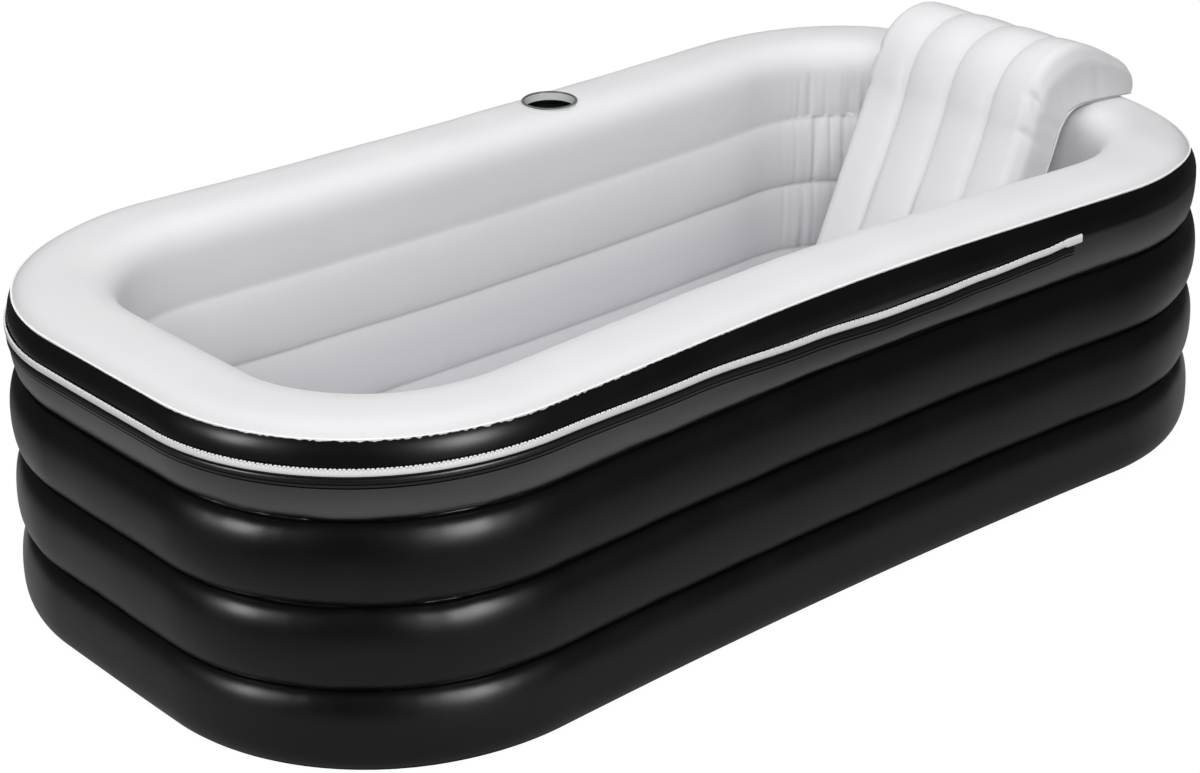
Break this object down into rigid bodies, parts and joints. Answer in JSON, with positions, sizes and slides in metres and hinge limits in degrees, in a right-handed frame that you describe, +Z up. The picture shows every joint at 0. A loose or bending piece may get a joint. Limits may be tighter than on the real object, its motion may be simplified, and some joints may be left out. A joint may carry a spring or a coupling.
{
  "type": "inflatable bathtub",
  "caption": "Oblong inflatable bathtub with stacked air chambers, a light rim with a cup pocket, half a cover zip round the foot end, a drain, and a channelled backrest hooked on the head end.",
  "frame": {"origin": "on the ground, on the flat base sheet, under the middle of the tub", "axes": "+X towards the head end with the backrest, +Y towards the long side with the cup pocket, +Z up"},
  "size_m": [1.6505, 0.8482, 0.4927],
  "materials": {
    "black_vinyl": "satin",
    "light_vinyl": "satin",
    "web_vinyl": "matte",
    "grey_vinyl": "satin",
    "black_tape": "woven",
    "zip_white": "satin",
    "black_plastic": "satin",
    "valve_plastic": "gloss"
  },
  "bodies": {
    "tub": {"outer_wall_head": "black_vinyl", "outer_wall_far_head": "black_vinyl", "outer_wall_far": "black_vinyl", "outer_wall_far_foot": "black_vinyl", "outer_wall_near_foot": "black_vinyl", "outer_wall_near": "black_vinyl", "outer_wall_near_head": "black_vinyl", "inner_wall_head": "light_vinyl", "inner_wall_far_head": "light_vinyl", "inner_wall_far": "light_vinyl", "inner_wall_far_foot": "light_vinyl", "inner_wall_near_foot": "light_vinyl", "inner_wall_near": "light_vinyl", "inner_wall_near_head": "light_vinyl", "web_lower": "web_vinyl", "web_middle": "web_vinyl", "web_upper": "web_vinyl", "base_sheet": "black_vinyl", "floor_sheet": "light_vinyl", "floor_valve_stem": "valve_plastic", "cup_collar": "grey_vinyl", "cup_pocket": "black_vinyl", "zip_tape": "black_tape", "zip_coil": "zip_white", "zip_top_stop": "zip_white", "zip_retainer_box": "zip_white", "wall_valve_base": "valve_plastic", "drain_tube": "black_plastic", "drain_outer_flange": "black_plastic", "drain_inner_flange": "black_plastic"},
    "backrest": {"backrest_front_sheet": "light_vinyl", "backrest_rear_sheet": "light_vinyl", "backrest_web_1": "web_vinyl", "backrest_web_2": "web_vinyl", "backrest_web_3": "web_vinyl", "backrest_valve_stem": "valve_plastic"},
    "backrest_plug": {"backrest_valve_plug": "valve_plastic"},
    "floor_plug": {"floor_valve_plug": "valve_plastic"},
    "slider": {"zip_slider": "zip_white"},
    "pull_tab": {"zip_pull_tab": "zip_white"},
    "valve_insert": {"wall_valve_insert": "valve_plastic"},
    "valve_flap": {"wall_valve_flap": "grey_vinyl"},
    "valve_cap": {"wall_valve_cap": "valve_plastic"},
    "cap_of_drain": {"drain_cap": "black_plastic"},
    "stopper_of_drain": {"drain_stopper": "black_plastic"}
  },
  "joints": [
    {"name": "backrest_lift", "type": "slide", "parent": "tub", "child": "backrest", "axis": [0, 0, 1], "range_m": [0, 0.2]},
    {"name": "backrest_plug_pull", "type": "slide", "parent": "backrest", "child": "backrest_plug", "axis": [0.9081, 0, -0.4188], "range_m": [0, 0.015]},
    {"name": "floor_plug_pull", "type": "slide", "parent": "tub", "child": "floor_plug", "axis": [0, 0, 1], "range_m": [0, 0.015]},
    {"name": "zip_slide", "type": "slide", "parent": "tub", "child": "slider", "axis": [-0.9993, -0.0367, 0], "range_m": [0, 0.09]},
    {"name": "pull_tab_turn", "type": "hinge", "parent": "slider", "child": "pull_tab", "pos_m": [0.35178, 0.41669, 0.366], "axis": [0, 0, -1], "range_deg": [0, 180]},
    {"name": "insert_unscrew", "type": "slide", "parent": "tub", "child": "valve_insert", "axis": [0, 1, 0], "range_m": [0, 0.03]},
    {"name": "valve_cap_open", "type": "hinge", "parent": "valve_insert", "child": "valve_cap", "pos_m": [0, 0.41491, 0.2748], "axis": [1, 0, 0], "range_deg": [0, 150]},
    {"name": "flap_lift", "type": "slide", "parent": "valve_insert", "child": "valve_flap", "axis": [0, -1, 0], "range_m": [0, 0.002], "stiffness_N_per_m": 20},
    {"name": "drain_cap_pull", "type": "slide", "parent": "tub", "child": "cap_of_drain", "axis": [1, 0, 0], "range_m": [0, 0.03]},
    {"name": "drain_stopper_pull", "type": "slide", "parent": "tub", "child": "stopper_of_drain", "axis": [-1, 0, 0], "range_m": [0, 0.03]}
  ]
}
